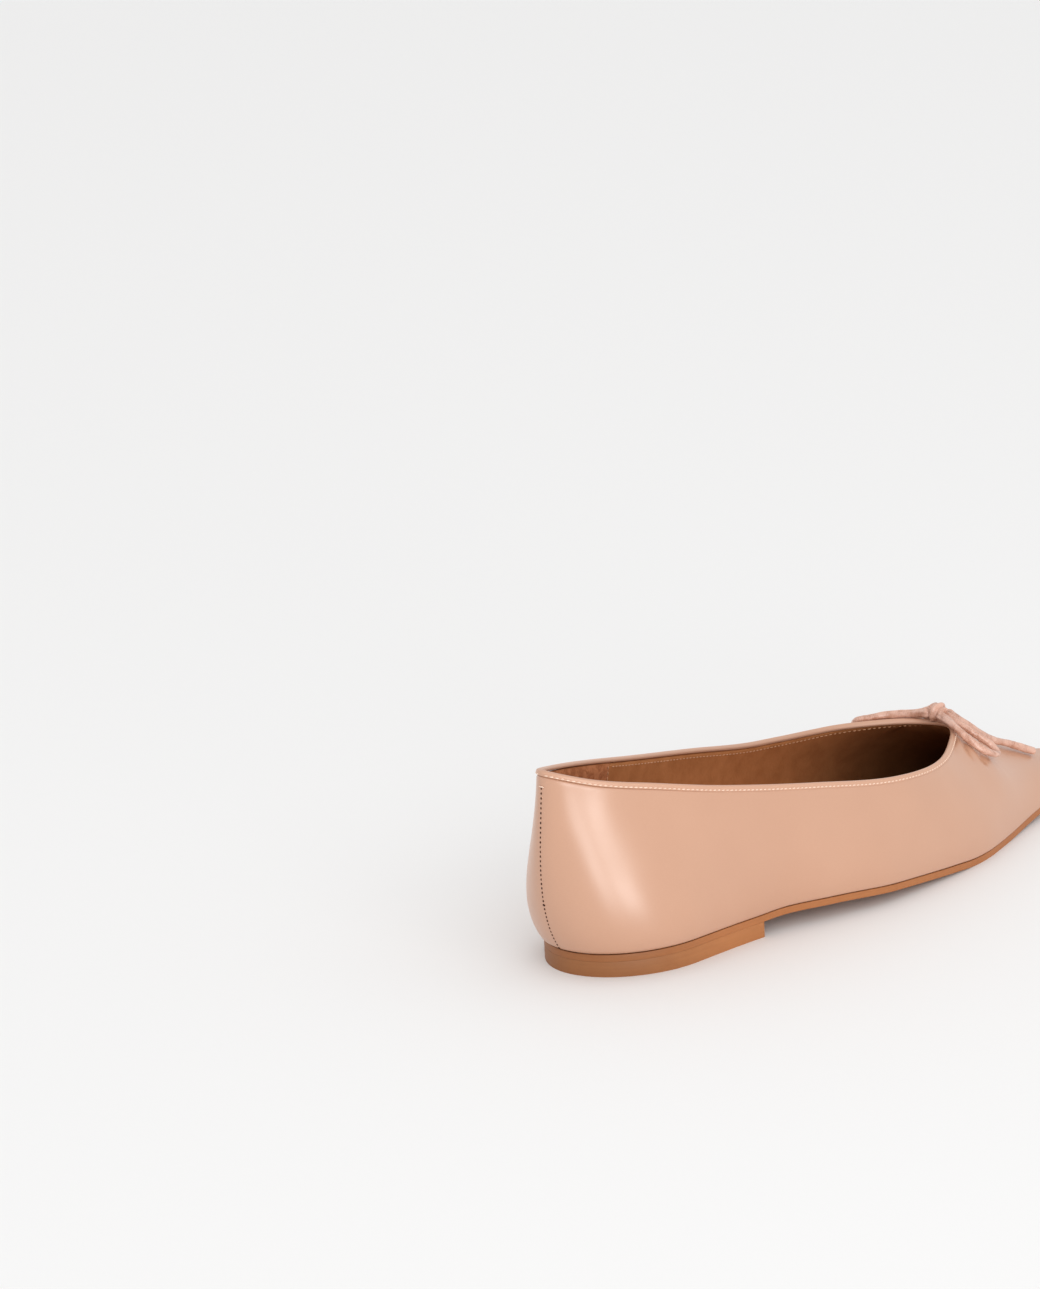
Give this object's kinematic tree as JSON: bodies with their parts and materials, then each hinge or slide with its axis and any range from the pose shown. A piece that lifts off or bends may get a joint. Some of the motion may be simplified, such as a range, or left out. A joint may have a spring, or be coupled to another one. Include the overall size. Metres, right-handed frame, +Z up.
{
  "type": "ballet flat",
  "caption": "Slip-on ballet flat with a hollow satin upper, rolled collar binding, thin leather sole, low heel block and a small tube bow at the throat.",
  "frame": {"origin": "on the floor, under the middle of the shoe's length and width", "axes": "+X to the toe, +Y to the wearer's left, +Z up"},
  "size_m": [0.2444, 0.0739, 0.0658],
  "materials": {
    "satin": "blush satin with a soft pale sheen",
    "sole_leather": "smooth tan leather with a burnished edge",
    "lining": "matt brown lining leather"
  },
  "bodies": {
    "root": {"upper": "satin", "collar_binding": "satin", "insole": "lining", "outsole": "sole_leather", "heel": "sole_leather", "bow_knot": "satin", "bow_loop_near": "satin", "bow_loop_far": "satin", "bow_end_near": "satin", "bow_end_far": "satin"}
  },
  "joints": []
}
